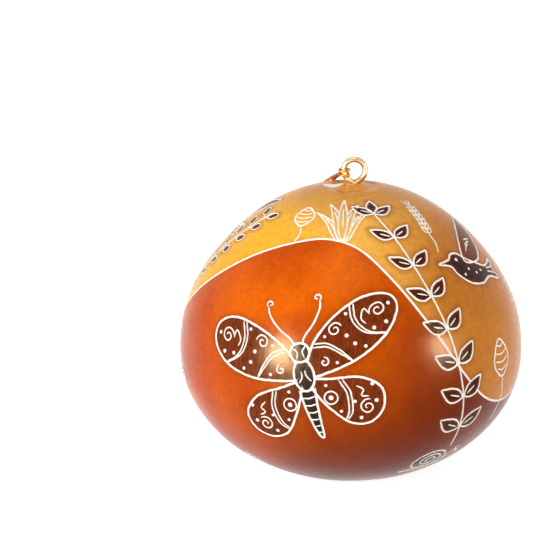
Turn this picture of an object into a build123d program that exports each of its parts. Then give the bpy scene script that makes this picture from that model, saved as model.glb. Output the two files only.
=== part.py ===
from build123d import *
from math import acos, cos, degrees, pi, radians, sin, sqrt, tan
import os

# A dried, carved gourd with a small brass screw eye in its crown and a hanging loop
# of metallic thread hitched round the eye. The origin is the centre of the flat foot,
# +Z points up, and the flat of the eye's ring lies in the XZ plane.

# Gourd
gourd_radius = 36.0
crown_height = 35.2             # belly line up to the crown, as if there were no stem hollow
base_depth = 27.2               # belly line down to where the lower curve would end
foot_radius = 10.0              # outer edge of the flat ring it stands on
foot_rounding = 4.0
blossom_radius = 3.6            # blossom scar in the middle of the foot
blossom_depth = 0.8
wall = 3.6
shoulder_radius_shares = (0.948, 0.786, 0.567, 0.31)    # of gourd_radius, belly to crown
shoulder_height_shares = (0.309, 0.588, 0.809, 0.951)   # of crown_height
stem_hollow_depth = 0.7         # floor of the hollow below the crown
stem_floor_radius = 2.6
stem_rim_radius = 5.4
stem_rim_depth = 0.44           # rim of the hollow below the crown
cut_overrun = 1.0

# Screw eye
eye_offset = 0.8                # the eye stands this far to the right of the gourd's axis
wire_diameter = 1.2
ring_diameter = 4.54            # centre line of the ring
wire_splay = 40.0               # degrees above level of the two wires under the ring
neck_bend_radius = 0.6
neck_height = 0.7               # stem floor up to the point where the two wires meet
neck_stub = 0.45                # straight wire below that point
ring_end_gap = 0.06             # between the ring's cut end and the wire it closes on
shank_length = 7.0              # below the point where the wires meet
plain_shank_length = 1.6
ridge_pitch = 0.6
ridge_depth = 0.17
shank_tip_length = 1.2
bore_clearance = 0.05

# Seeds that rattle in the cavity
seed_length = 8.0
seed_width = 4.0
seed_tip_width = 1.7
seed_thickness = 1.5
seed_edge_radius = 0.45
seed_gap = 0.3
seed_row_counts = (1, 6, 12)
seed_row_shares = (0.0, 0.27, 0.53)     # of the cavity's radius
seed_turn = 24.0                        # degrees, largest turn of a seed from its row's spoke
seed_turn_step = 137.5                  # degrees, how fast that turn varies round a row

# Hanging loop of thread
thread_diameter = 0.7
hitch_drop = 0.5                # middle of the hitch below the middle of the ring
hitch_pitch = 0.95              # between the two turns of the hitch
hitch_clearance = 0.12
hitch_web_thickness = 0.45
throat_length_overlap = 0.35    # how far the throat starts inside the turns
knot_length = 2.7
knot_diameter = 2.3
knot_end_diameter = 1.75

# Each strand's way from the hitch, over the back of the crown and down to the knot.
left_route = [
    (-2.21, 2.23, 63.10),
    (-4.26, 10.14, 60.90),
    (-8.6, 19.5, 55.8),
    (-11.6, 26.2, 48.6),
    (-13.3, 31.6, 39.7),
    (-13.6, 34.3, 30.7),
    (-13.1, 35.3, 22.7),
    (-10.89, 35.72, 17.0),
    (-10.89, 35.72, 12.8),
]
right_route = [
    (-1.47, 2.42, 63.10),
    (-3.52, 10.33, 60.90),
    (-4.4, 20.1, 56.2),
    (-5.2, 27.4, 49.3),
    (-6.3, 33.3, 40.5),
    (-7.3, 36.1, 31.5),
    (-8.1, 36.6, 23.3),
    (-10.11, 35.92, 17.2),
    (-10.11, 35.92, 12.8),
]
left_tail_route = [(-10.89, 35.72, 10.1), (-10.89, 35.72, 7.4), (-11.6, 36.1, 4.1)]
right_tail_route = [(-10.11, 35.92, 10.1), (-10.11, 35.92, 7.9), (-9.6, 35.6, 5.2)]

os.makedirs("parts", exist_ok=True)

wire_radius = wire_diameter / 2
ring_radius = ring_diameter / 2
thread_radius = thread_diameter / 2
foot_angle = acos(foot_radius / gourd_radius)
belly_height = base_depth * sin(foot_angle)
crown_top = belly_height + crown_height
stem_floor = crown_top - stem_hollow_depth
neck_point = stem_floor + neck_height
ring_rise = ring_radius / cos(radians(wire_splay))
ring_centre = neck_point + ring_rise


def half_profile(radius, height, depth, start_angle, crown):
    """Draws one side of the gourd from the lower curve's start up over the shoulder."""
    lower = EllipticalCenterArc(
        (0, belly_height), radius, depth, start_angle=start_angle, arc_size=-start_angle
    )
    shoulder = [
        (radius * radius_share, belly_height + height * height_share)
        for radius_share, height_share in zip(shoulder_radius_shares, shoulder_height_shares)
    ]
    Spline(lower @ 1, *shoulder, *crown, tangents=[(0, 1), (-1, 0)])
    return lower


# Gourd shell, with a shallow hollow in its crown where the stem came off
with BuildPart() as gourd_shell:
    with BuildSketch(Plane.XZ):
        with BuildLine():
            stem_rim = (stem_rim_radius, crown_top - stem_rim_depth)
            floor_edge = (stem_floor_radius, stem_floor)
            lower_curve = half_profile(
                gourd_radius, crown_height, base_depth, -degrees(foot_angle), [stem_rim, floor_edge]
            )
            Line((blossom_radius, 0), lower_curve @ 0)
            TangentArc((0, blossom_depth), (blossom_radius, 0), tangent=(1, 0))
            Polyline(floor_edge, (0, stem_floor), (0, blossom_depth))
        make_face()
    revolve(axis=Axis.Z)
    foot_edges = gourd_shell.edges().filter_by(GeomType.CIRCLE).group_by(Axis.Z)[0]
    fillet(foot_edges.sort_by(SortBy.RADIUS)[-1], foot_rounding)

    # Cavity
    with BuildSketch(Plane.XZ):
        with BuildLine():
            cavity_radius = gourd_radius - wall
            cavity_depth = belly_height - wall
            cavity_crown = crown_height - stem_hollow_depth - wall
            cavity_top = (0, belly_height + cavity_crown)
            half_profile(cavity_radius, cavity_crown, cavity_depth, -90, [cavity_top])
            Line(cavity_top, (0, belly_height - cavity_depth))
        make_face()
    revolve(axis=Axis.Z, mode=Mode.SUBTRACT)

    # Pilot hole for the eye's shank
    with Locations((eye_offset, 0, stem_floor)):
        Hole(wire_radius + bore_clearance, depth=wall + cut_overrun)
gourd_shell.part.label = "gourd_shell"

# Screw eye: one wire, from the ring's cut end round to the ridged shank
eye_plane = Plane(origin=(eye_offset, 0, neck_point), x_dir=(1, 0, 0), z_dir=(0, -1, 0))
splay = radians(wire_splay)
wire_touch = (ring_radius * sin(splay), ring_rise - ring_radius * cos(splay))
end_distance = (wire_diameter + ring_end_gap) / sin(2 * splay)
end_point = (end_distance * cos(splay), end_distance * sin(splay))
with BuildPart() as screw_eye:
    with BuildLine(eye_plane):
        FilletPolyline(
            (0, -neck_stub), (0, 0), (-wire_touch[0], wire_touch[1]), radius=neck_bend_radius
        )
        CenterArc(
            (0, ring_rise), ring_radius,
            start_angle=270 - wire_splay, arc_size=2 * wire_splay - 360
        )
        Line(wire_touch, end_point)
    with BuildSketch(Plane(origin=eye_plane.from_local_coords((0, -neck_stub)), z_dir=(0, 0, 1))):
        Circle(wire_radius)
    sweep()
    with BuildSketch(eye_plane):
        with BuildLine():
            ridge_count = int((shank_length - plain_shank_length - shank_tip_length) / ridge_pitch)
            root_radius = wire_radius - ridge_depth
            outline = [(0, -neck_stub), (wire_radius, -neck_stub)]
            for ridge in range(ridge_count):
                top = -plain_shank_length - ridge * ridge_pitch
                outline.append((wire_radius, top))
                outline.append((root_radius, top - ridge_pitch / 2))
            outline.append((root_radius, shank_tip_length - shank_length))
            outline.append((0, -shank_length))
            Polyline(*outline, close=True)
        make_face()
    revolve(axis=Axis(eye_plane.origin, (0, 0, 1)))
screw_eye.part.label = "screw_eye"

# Dried seeds, lying in rows on the floor of the cavity
with BuildPart() as seed:
    with BuildSketch():
        with Locations(((seed_length - seed_width) / 2, 0)):
            Circle(seed_width / 2)
        with Locations(((seed_tip_width - seed_length) / 2, 0)):
            Circle(seed_tip_width / 2)
        make_hull()
    extrude(amount=seed_thickness)
    fillet(seed.edges(), seed_edge_radius)


def seed_place(reach, around, turn):
    """Gives the plane of a seed that lies on the bowl of the cavity's floor."""
    depth_share = sqrt(1 - (reach / cavity_radius) ** 2)
    slope = cavity_depth * reach / (cavity_radius**2 * depth_share)
    along = cavity_radius * depth_share
    across = cavity_depth * reach / cavity_radius
    bowl_radius = (along**2 + across**2) ** 1.5 / (cavity_radius * cavity_depth)
    lift = seed_gap + seed_length**2 / (8 * bowl_radius)
    spoke = Vector(cos(around), sin(around), 0)
    normal = (Vector(0, 0, 1) - spoke * slope).normalized()
    spot = spoke * reach + Vector(0, 0, belly_height - cavity_depth * depth_share)
    plane = Plane(origin=spot + normal * lift, x_dir=spoke + Vector(0, 0, slope), z_dir=normal)
    return plane.rotated((0, 0, turn))


with BuildPart() as dried_seeds:
    for count, share in zip(seed_row_counts, seed_row_shares):
        for index in range(count):
            around = 2 * pi * index / count
            turn = seed_turn * sin(radians(seed_turn_step * index))
            with Locations(seed_place(share * cavity_radius, around, turn)):
                add(seed.part)
dried_seeds.part.label = "dried_seeds"


def bend_radii(route):
    """Gives each corner of a thread's route the largest arc that its two runs allow."""
    points = [Vector(*point) for point in route]
    runs = [end - start for start, end in zip(points, points[1:])]
    radii = []
    for before, after in zip(runs, runs[1:]):
        half_turn = radians(before.get_angle(after)) / 2
        radii.append(0.45 * min(before.length, after.length) / tan(half_turn))
    return radii


def thread_path(route):
    """Draws the route as straight runs joined by arcs and prints what it measures."""
    radii = bend_radii(route)
    path = FilletPolyline(*route, radius=radii)
    print("thread length", round(path.length, 2), "radii", [round(radius, 1) for radius in radii])
    return path


def route_start(route):
    """Gives the plane square to the first run, where the thread's section is drawn."""
    return Plane(origin=route[0], z_dir=Vector(*route[1]) - Vector(*route[0]))


# Two strands between the hitch and the knot
with BuildPart() as left_strand:
    with BuildLine():
        thread_path(left_route)
    with BuildSketch(route_start(left_route)):
        Circle(thread_radius)
    sweep()
left_strand.part.label = "left_strand"

with BuildPart() as right_strand:
    with BuildLine():
        thread_path(right_route)
    with BuildSketch(route_start(right_route)):
        Circle(thread_radius)
    sweep()
right_strand.part.label = "right_strand"

# Hitch: two turns round the ring's left wire, and a throat that the strands come out of.
# The turns are round their own upright axis, wide enough for the curved wire to turn in.
hitch_top = -hitch_drop + (hitch_pitch + thread_diameter) / 2
hitch_bottom = -hitch_drop - (hitch_pitch + thread_diameter) / 2
wire_near = sqrt(ring_radius**2 - hitch_bottom**2)
wire_far = ring_radius if hitch_top > 0 else sqrt(ring_radius**2 - hitch_top**2)
hitch_x = eye_offset - (wire_near + wire_far) / 2
hitch_height = ring_centre - hitch_drop
hitch_bore_radius = wire_radius + (wire_far - wire_near) / 2 + hitch_clearance
turn_radius = hitch_bore_radius + thread_radius
hitch_axis = Axis((hitch_x, 0, hitch_height), (0, 0, 1))
hitch_plane = Plane(origin=(hitch_x, 0, hitch_height), x_dir=(1, 0, 0), z_dir=(0, -1, 0))
strand_gap = Vector(*left_route[0]) - Vector(*right_route[0])
throat_face = (Vector(*left_route[0]) + Vector(*right_route[0])) * 0.5
throat_way = (Vector(*left_route[1]) - Vector(*left_route[0])).normalized()
throat_length = (
    (throat_face - Vector(hitch_x, 0, hitch_height)).length
    - hitch_bore_radius - throat_length_overlap
)
with BuildPart() as thread_hitch:
    with BuildSketch(hitch_plane):
        with Locations((turn_radius, hitch_pitch / 2), (turn_radius, -hitch_pitch / 2)):
            Circle(thread_radius)
        with Locations((turn_radius, 0)):
            Rectangle(hitch_web_thickness, hitch_pitch)
    revolve(axis=hitch_axis)
    with BuildSketch(Plane(origin=throat_face, x_dir=strand_gap, z_dir=throat_way)):
        SlotCenterToCenter(strand_gap.length, thread_diameter)
    extrude(amount=-throat_length)
thread_hitch.part.label = "thread_hitch"

# Knot: a barrel round the strands' lower ends, flat at both ends
knot_top = (Vector(*left_route[-1]) + Vector(*right_route[-1])) * 0.5
knot_plane = Plane(origin=knot_top, x_dir=(1, 0, 0), z_dir=(0, -1, 0))
with BuildPart() as end_knot:
    with BuildSketch(knot_plane):
        with BuildLine():
            ThreePointArc(
                (knot_end_diameter / 2, 0),
                (knot_diameter / 2, -knot_length / 2),
                (knot_end_diameter / 2, -knot_length),
            )
            Polyline(
                (knot_end_diameter / 2, 0), (0, 0), (0, -knot_length),
                (knot_end_diameter / 2, -knot_length)
            )
        make_face()
    revolve(axis=Axis(knot_top, (0, 0, 1)))
end_knot.part.label = "end_knot"

# Two cut tails below the knot
with BuildPart() as thread_tails:
    with BuildLine():
        thread_path(left_tail_route)
    with BuildSketch(route_start(left_tail_route)):
        Circle(thread_radius)
    sweep()
    with BuildLine():
        thread_path(right_tail_route)
    with BuildSketch(route_start(right_tail_route)):
        Circle(thread_radius)
    sweep()
thread_tails.part.label = "thread_tails"

print("hitch axis", round(hitch_x, 3), 0, round(hitch_height, 3))
print("ring centre", eye_offset, 0, round(ring_centre, 3))
print("knot bottom", round(knot_top.Z - knot_length, 3))

export_step(gourd_shell.part, "parts/gourd_shell.step")
export_step(screw_eye.part, "parts/screw_eye.step")
export_step(dried_seeds.part, "parts/dried_seeds.step")
export_step(left_strand.part, "parts/left_strand.step")
export_step(right_strand.part, "parts/right_strand.step")
export_step(thread_hitch.part, "parts/thread_hitch.step")
export_step(end_knot.part, "parts/end_knot.step")
export_step(thread_tails.part, "parts/thread_tails.step")
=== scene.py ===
import math

import bmesh
import bpy
import numpy as np
from mathutils import Matrix, Vector, noise
from mathutils.geometry import delaunay_2d_cdt
from mathutils.kdtree import KDTree


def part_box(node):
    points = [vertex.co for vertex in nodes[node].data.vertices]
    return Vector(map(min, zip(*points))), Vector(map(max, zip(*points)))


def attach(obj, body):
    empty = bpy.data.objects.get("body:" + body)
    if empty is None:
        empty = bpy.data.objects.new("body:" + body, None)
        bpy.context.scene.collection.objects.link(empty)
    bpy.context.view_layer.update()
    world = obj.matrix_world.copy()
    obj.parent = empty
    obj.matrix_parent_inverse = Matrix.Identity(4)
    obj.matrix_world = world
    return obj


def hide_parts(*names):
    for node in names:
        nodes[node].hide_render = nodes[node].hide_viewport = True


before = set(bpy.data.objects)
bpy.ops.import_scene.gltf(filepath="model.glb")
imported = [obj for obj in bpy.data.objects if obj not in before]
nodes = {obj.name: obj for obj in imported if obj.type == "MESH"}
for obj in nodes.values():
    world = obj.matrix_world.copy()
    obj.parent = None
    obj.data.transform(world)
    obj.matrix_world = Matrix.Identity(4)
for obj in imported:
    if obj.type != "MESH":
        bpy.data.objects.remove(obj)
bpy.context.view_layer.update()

mm = 0.001
scene = bpy.context.scene

# How the gourd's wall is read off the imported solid, in degrees seen from a spot inside.
gauge = {
    "height": 0.43,               # of that spot, as a share of the gourd's own
    "tiltStep": 0.5,
    "boreAside": 0.8 * mm,        # the eye's bore, which isn't part of the wall
    "boreClear": 0.9 * mm,
}
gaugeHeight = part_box("gourd_shell")[1].z * gauge["height"]


# Half profile of the wall, from foot to crown.
def readProfile(outer):
    mesh = nodes["gourd_shell"].data
    spots = np.array([vertex.co[:] for vertex in mesh.vertices])
    facing = np.array([vertex.normal[:] for vertex in mesh.vertices])
    radius = np.hypot(spots[:, 0], spots[:, 1])
    fromGauge = spots - [0, 0, gaugeHeight]
    outward = (facing * fromGauge).sum(axis=1) > 0
    fromBore = np.hypot(spots[:, 0] - gauge["boreAside"], spots[:, 1])
    wanted = (outward == outer) & (fromBore > gauge["boreClear"])
    tilt = np.degrees(np.arctan2(fromGauge[:, 2], radius))
    step = gauge["tiltStep"]
    radii, heights = [], []
    for low in np.arange(-90 - step / 2, 90 + step / 2, step):
        near = wanted & (tilt >= low) & (tilt < low + step)
        if near.any():
            radii.append(radius[near].mean())
            heights.append(spots[near, 2].mean())
    return np.array(radii), np.array(heights)


wallR, wallZ = readProfile(outer=True)
insideR, insideZ = readProfile(outer=False)
widest = int(np.argmax(wallR))
gourdRadius, bellyHeight = float(wallR[widest]), float(wallZ[widest])
wallStep = np.hypot(np.diff(wallR), np.diff(wallZ))
along = np.concatenate([[0], np.cumsum(wallStep)])
along = along - along[widest]     # metres up the skin from the belly line
chartV = np.concatenate([[0], np.cumsum(2 * wallStep / (wallR[1:] + wallR[:-1] + 1e-6))])
chartV = chartV - np.interp(0, along, chartV)     # the same, on a map that keeps angles true
print("frame loaded, belly", round(bellyHeight / mm, 2), "mm up, radius", round(gourdRadius / mm, 2))

# Camera, at the angle of the photograph.
viewpoint = {
    "framePixels": 533,
    "bellyPixel": (350.6, 347.0),     # where the middle of the belly line lies in the frame
    "metresPerPixel": 0.2105 * mm,
    "distance": 0.70,
    "elevation": 16.0,
    "sensor": 36,
}


def buildCamera():
    rise = math.radians(viewpoint["elevation"])
    outward = Vector((0, -math.cos(rise), math.sin(rise)))
    focal = viewpoint["distance"] / viewpoint["metresPerPixel"]      # in pixels
    middle = viewpoint["framePixels"] / 2
    right, down = (math.atan((pixel - middle) / focal) for pixel in viewpoint["bellyPixel"])
    data = bpy.data.cameras.new("camera")
    data.sensor_fit = "HORIZONTAL"
    data.sensor_width = viewpoint["sensor"]
    data.lens = viewpoint["sensor"] * focal / viewpoint["framePixels"]
    data.clip_start = 0.01
    data.clip_end = 20
    camera = bpy.data.objects.new("camera", data)
    scene.collection.objects.link(camera)
    aim = (-outward).to_track_quat("-Z", "Y").to_matrix().to_4x4()
    aim = aim @ Matrix.Rotation(right, 4, "Y") @ Matrix.Rotation(down, 4, "X")
    place = Vector((0, 0, bellyHeight)) + outward * viewpoint["distance"]
    camera.matrix_world = Matrix.Translation(place) @ aim
    scene.camera = camera


buildCamera()
print("camera placed")


def addObject(name, data, body=None):
    thing = bpy.data.objects.new(name, data)
    scene.collection.objects.link(thing)
    if body:
        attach(thing, body)
    return thing


def meshFrom(name, points, faces):
    mesh = bpy.data.meshes.new(name)
    mesh.from_pydata([tuple(point) for point in points], [], faces)
    mesh.polygons.foreach_set("use_smooth", [True] * len(mesh.polygons))
    mesh.update()
    return mesh


# A finished piece on its body, which may stand for one of the solids.
def addPiece(mesh, body, node=None):
    piece = addObject(mesh.name, mesh, body)
    if node:
        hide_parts(node)
    return piece


# Points along the smooth line that has the route as its control points.
def splineLine(name, route):
    curve = bpy.data.curves.new(name, "CURVE")
    curve.dimensions = "3D"
    curve.resolution_u = 40
    spline = curve.splines.new("NURBS")
    spline.points.add(len(route) - 1)
    for spot, point in zip(route, spline.points):
        point.co = (*spot, 1)
    spline.order_u = 3
    spline.use_endpoint_u = True
    holder = bpy.data.objects.new(name, curve)
    line = bpy.data.meshes.new_from_object(holder)
    points = [vertex.co.copy() for vertex in line.vertices]
    bpy.data.objects.remove(holder)
    bpy.data.meshes.remove(line)
    bpy.data.curves.remove(curve)
    return points


# A line's points, respaced evenly, and its whole length.
def respaced(points, step, least):
    reach = np.concatenate([[0], np.cumsum(np.linalg.norm(np.diff(points, axis=0), axis=1))])
    wanted = np.linspace(0, reach[-1], max(least, int(round(reach[-1] / step)) + 1))
    spots = np.stack([np.interp(wanted, reach, column) for column in points.T], axis=1)
    return spots, float(reach[-1])


# A sideways pair at each point of a line, which never spins round it.
def carriedFrames(points):
    frames = []
    side = None
    for index in range(len(points)):
        before = points[max(index - 1, 0)]
        after = points[min(index + 1, len(points) - 1)]
        way = (after - before).normalized()
        side = way.orthogonal() if side is None else side
        side = (side - way * side.dot(way)).normalized()
        frames.append((side, way.cross(side)))
    return frames


# A round tube along a line, added to a mesh in the making.
def tubeAlong(points, radius, sides, vertices, faces):
    base = len(vertices)
    for point, (side, up) in zip(points, carriedFrames(points)):
        for k in range(sides):
            angle = 2 * math.pi * k / sides
            vertices.append(point + (side * math.cos(angle) + up * math.sin(angle)) * radius)
    last = base + (len(points) - 1) * sides
    for here in range(base, last, sides):
        for k in range(sides):
            after = (k + 1) % sides
            faces.append((here + k, here + after, here + sides + after, here + sides + k))
    faces.append(tuple(base + k for k in reversed(range(sides))))
    faces.append(tuple(last + k for k in range(sides)))


# Metallic thread of the hanging loop.
thread = {
    "diameter": 0.7 * mm,
    "plies": 3,
    "plyShare": 0.50,             # radius of a ply, of the thread's radius
    "layShare": 0.50,             # how far a ply lies from the thread's middle, of the same
    "twistLength": 2.0 * mm,      # for one whole turn of the plies
    "plySides": 8,
    "pointStep": 0.125 * mm,
    "fray": 3.0,                  # how far the plies part at a cut end
    "frayFrom": 0.45,             # share of the tail above the fray
}

# Control points of the strands and tails, from the hitch down to the knot, in metres.
leftRoute = [
    (-0.00221, 0.00223, 0.06310), (-0.00385, 0.00985, 0.06070), (-0.00715, 0.01885, 0.0561),
    (-0.0114, 0.0258, 0.0487), (-0.0133, 0.0315, 0.0397), (-0.0136, 0.0342, 0.0307),
    (-0.0131, 0.0352, 0.0227), (-0.01089, 0.03572, 0.0170), (-0.01086, 0.03574, 0.0124),
]
rightRoute = [
    (-0.00147, 0.00242, 0.06310), (-0.00330, 0.00980, 0.06072), (-0.0044, 0.0195, 0.0563),
    (-0.0052, 0.0272, 0.0492), (-0.0063, 0.0332, 0.0405), (-0.0073, 0.0360, 0.0315),
    (-0.0081, 0.0365, 0.0233), (-0.01011, 0.03592, 0.0172), (-0.01014, 0.03590, 0.0124),
]
leftTailRoute = [
    (-0.01085, 0.03575, 0.0108), (-0.01092, 0.0358, 0.0074), (-0.0116, 0.0361, 0.0043),
]
rightTailRoute = [
    (-0.01015, 0.03589, 0.0108), (-0.01005, 0.0359, 0.0079), (-0.0096, 0.0356, 0.0054),
]


# Lays the thread's plies round a line.
def twistThread(points, vertices, faces, lead=0.0, fray=0.0):
    spots, length = respaced(np.array([tuple(point) for point in points]), thread["pointStep"], 2)
    line = [Vector(spot) for spot in spots]
    frames = carriedFrames(line)
    radius = thread["diameter"] / 2
    for ply in range(thread["plies"]):
        course = []
        for index, (point, (side, up)) in enumerate(zip(line, frames)):
            turns = index * thread["pointStep"] / thread["twistLength"]
            angle = lead + 2 * math.pi * (turns + ply / thread["plies"])
            parting = 1 + fray * max(0, index / (len(line) - 1) - thread["frayFrom"]) ** 2
            lay = radius * thread["layShare"] * parting
            course.append(point + (side * math.cos(angle) + up * math.sin(angle)) * lay)
        tubeAlong(course, radius * thread["plyShare"], thread["plySides"], vertices, faces)
    return line, length


def buildStrand(name, node, route):
    vertices, faces = [], []
    line, length = twistThread(splineLine(name, route), vertices, faces)
    return addPiece(meshFrom(name, vertices, faces), "loop", node), line, length


leftStrand, leftLine, leftLength = buildStrand("strandLeft", "left_strand", leftRoute)
rightStrand, rightLine, rightLength = buildStrand("strandRight", "right_strand", rightRoute)
print("strands laid,", round(leftLength / mm, 1), "and", round(rightLength / mm, 1), "mm")

# Hitch of the loop on the eye's ring: both strands come in under the bar, go round the
# wire and meet in the bar at the front. The lower half mirrors the upper one.
hitch = {
    "middle": (-1.257 * mm, 0.0, 63.793 * mm),
    "strandTurn": 104.5,          # compass direction that the strands leave in, in degrees
    "wrap": [                     # away from the ring, sideways and up from the middle, in mm
        (2.42, 0.0, 0.30), (1.75, 0.30, 0.36), (1.05, 0.72, 0.42), (0.0, 1.00, 0.47),
        (-0.80, 0.66, 0.50), (-1.02, 0.0, 0.52), (-0.72, -0.76, 0.55), (0.05, -1.06, 0.58),
        (0.85, -0.86, 0.52), (1.22, -0.74, 0.25), (1.28, -0.72, 0.0),
    ],
    "lead": 0.6,                  # turn of the plies at its start, in radians
}


def buildHitch():
    turn = math.radians(hitch["strandTurn"])
    away = Vector((math.cos(turn), math.sin(turn), 0))
    aside = Vector((-math.sin(turn), math.cos(turn), 0))
    middle = Vector(hitch["middle"])
    upper = [middle + (away * a + aside * b + Vector((0, 0, c))) * mm for a, b, c in hitch["wrap"]]
    lower = [middle + (away * a + aside * b - Vector((0, 0, c))) * mm for a, b, c in hitch["wrap"]]
    vertices, faces = [], []
    line = splineLine("hitchLine", upper + lower[-2::-1])
    twistThread(line, vertices, faces, lead=hitch["lead"])
    return addPiece(meshFrom("threadHitch", vertices, faces), "loop", "thread_hitch")


threadHitch = buildHitch()

# Last bit of the eye's ring, which closes it on its own neck.
ringEnd = {
    "neck": (0.8 * mm, 61.33 * mm),      # right of the gourd's middle and up
    "from": (0.98 * mm, 0.822 * mm),     # right of the neck and above it
    "to": (0.13 * mm, 0.11 * mm),
    "radius": 0.598 * mm,
    "points": 9,
    "sides": 32,
    "sharp": 40,                         # degrees, so that the cut end keeps its edge
}


def closeRing():
    aside, up = ringEnd["neck"]
    course = []
    for t in np.linspace(0, 1, ringEnd["points"]):
        x, z = (a * (1 - t) + b * t for a, b in zip(ringEnd["from"], ringEnd["to"]))
        course.append(Vector((aside + x, 0, up + z)))
    vertices, faces = [], []
    tubeAlong(course, ringEnd["radius"], ringEnd["sides"], vertices, faces)
    mesh = meshFrom("ringEnd", vertices, faces)
    mesh.set_sharp_from_angle(angle=math.radians(ringEnd["sharp"]))
    return addPiece(mesh, "gourd")


eyeRingEnd = closeRing()

# Overhand knot of the two strands, which lie side by side through it.
knot = {
    "middle": (-10.5 * mm, 35.82 * mm, 11.68 * mm),
    "reach": 0.42 * mm,           # to the sides
    "swell": 0.324 * mm,          # to the front and the back
    "rise": 0.4284 * mm,
    "crossing": 1.3,              # share of the second turn in the first
    "apart": 0.34 * mm,           # between the two strands
    "steps": 96,
    "lead": 1.1,                  # turn of the plies from one strand to the other, in radians
}


def buildKnot():
    middle = Vector(knot["middle"])
    vertices, faces = [], []
    for strand in range(2):
        shift = (strand - 0.5) * knot["apart"]
        course = []
        for step in range(knot["steps"] + 1):
            t = 2 * math.pi * step / knot["steps"]
            x = (math.sin(t) + knot["crossing"] * math.sin(2 * t)) * knot["reach"]
            y = math.sin(3 * t) * knot["swell"] + shift * math.cos(t)
            z = (math.cos(t) - knot["crossing"] * math.cos(2 * t)) * knot["rise"] + shift
            course.append(middle + Vector((x, y, z)))
        twistThread(course, vertices, faces, lead=strand * knot["lead"])
    return addPiece(meshFrom("endKnot", vertices, faces), "loop", "end_knot")


# The two cut ends under the knot, each with the turn of its plies at the top.
tails = {"left": (leftTailRoute, 0.0), "right": (rightTailRoute, 1.4)}


def buildTails():
    vertices, faces = [], []
    for side, (route, lead) in tails.items():
        twistThread(splineLine(side + "Tail", route), vertices, faces, lead, thread["fray"])
    return addPiece(meshFrom("threadTails", vertices, faces), "loop", "thread_tails")


endKnot = buildKnot()
threadTails = buildTails()
print("loop hitched and knotted")

# Carving of the skin. Everything is drawn in millimetres on the unrolled skin. A motif's spot
# is the turn round the gourd in degrees from the front, to the right, the way up from the
# belly, the motif's tilt in degrees and its size, and the motif is drawn round that spot.
carving = {
    "outlineWidth": 0.46,
    "leafWidth": 0.40,            # of the cuts round leaves and petals
    "stemWidth": 0.34,
    "fineWidth": 0.31,
    "depth": 0.24,
    "fullDepthFrom": 0.2,         # half width from which a cut is that deep
    "wallSlope": 1.35,            # over 1, so that a cut's bottom is flat
    "wander": 0.07,               # how far the knife strays from its line
    "pressure": 0.22,             # how much its cut's width changes, as a share
    "strayStep": 0.45,            # along a cut, on the map that the straying is read from
    "strayApart": 3.7,            # between one cut and the next, on the same map
    "joinPoints": 4,              # over which a closed cut comes back to its own start
    "tip": (0.45, 0.4),           # width of an open cut's end, and how fast it widens
    "sampleStep": 0.42,
    "floorShare": 0.34,           # step between a cut's floor points, of that
    "besideLine": 0.42,           # how far outside a cut the scorched edge ends
    "besideDot": 0.4,
    "dotSides": 9,
    "scorchReach": 0.8,           # where the scorching beside a cut fades out
    "pointSearch": 1.1,           # how far a point of the skin looks for cuts
    "faceSearch": 0.7,            # and a face of it
    "whiteShare": 0.985,          # of a cut's half width, which comes out white
    "fieldStep": 1.05,            # between the points of the plain skin
    "rowShare": 0.87,             # of that step, between their rows
    "fieldClear": 0.34,           # from there to the points beside the cuts
    "edgeClear": (0.3, 0.6, 1.5),      # to the chart's sides, its foot and its top
    "unevenness": 0.10,
    "lumps": (55, 120),           # how many a metre, large and small
    "topRadius": 7.2,             # where the stem hollow's own rings take over
    "footRadius": 9.4,
    "rimPoints": 72,
}

# Line of the hill round the gourd: turn and way up.
hillLine = [
    (-180, -13), (-150, -10), (-125, -4), (-105, 2), (-88, 9), (-70, 19), (-50, 27.5),
    (-30, 32.2), (-12, 33.6), (5, 31), (18, 23.5), (29, 13), (39, 3), (50, -4), (64, -7),
    (80, -6), (98, -3), (120, -5), (150, -11), (180, -13),
]
cuts = []            # knife strokes on the chart, with their half widths
burns = []           # scorched fields, with the darkness of each
covers = []          # outlines drawn so far, which hide what later motifs would draw there
hiding = {"count": 0}
chartEdge = math.pi * gourdRadius / mm              # half the width of the chart
chartTurns = (0.0, 2 * chartEdge, -2 * chartEdge)   # what crosses one edge comes in at the other


# A smooth line through the points, in that many steps from each to the next.
def flowing(points, closed=False, steps=7):
    points = np.asarray(points, float)
    if closed:
        ends = np.concatenate([points[-1:], points, points[:2]])
    else:
        before = 2 * points[:1] - points[1:2]
        after = 2 * points[-1:] - points[-2:-1]
        ends = np.concatenate([before, points, after])
    spots = []
    for index in range(1, len(ends) - 2):
        a, b, c, d = ends[index - 1:index + 3]
        for t in np.arange(steps) / steps:
            spots.append(0.5 * (2 * b + (c - a) * t + (2 * a - 5 * b + 4 * c - d) * t * t
                                + (3 * b - a - 3 * c + d) * t ** 3))
    if not closed:
        spots.append(points[-1])
    return np.array(spots)


def evenly(points, step, closed):
    points = np.asarray(points, float)
    if closed:
        points = np.concatenate([points, points[:1]])
    spaced, _ = respaced(points, step, 3)
    return spaced[:-1] if closed else spaced


def turned(points, tilt):
    lean = math.radians(tilt)
    x, y = np.asarray(points, float).T
    return np.stack([x * math.cos(lean) - y * math.sin(lean),
                     x * math.sin(lean) + y * math.cos(lean)], axis=1)


def chartHeight(up):
    return np.interp(up, along, chartV) * gourdRadius / mm


# From the motif's millimetres to the chart: turn in radians times the belly's radius, and
# the map height, both in millimetres at the belly.
def toChart(spot, points):
    turn, rise, tilt, size = spot
    x, y = turned(np.asarray(points, float) * size, tilt).T
    up = (rise + y) * mm
    across = math.radians(turn) * gourdRadius + x * mm * gourdRadius / np.interp(up, along, wallR)
    return np.stack([across / mm, chartHeight(up)], axis=1)


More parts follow.
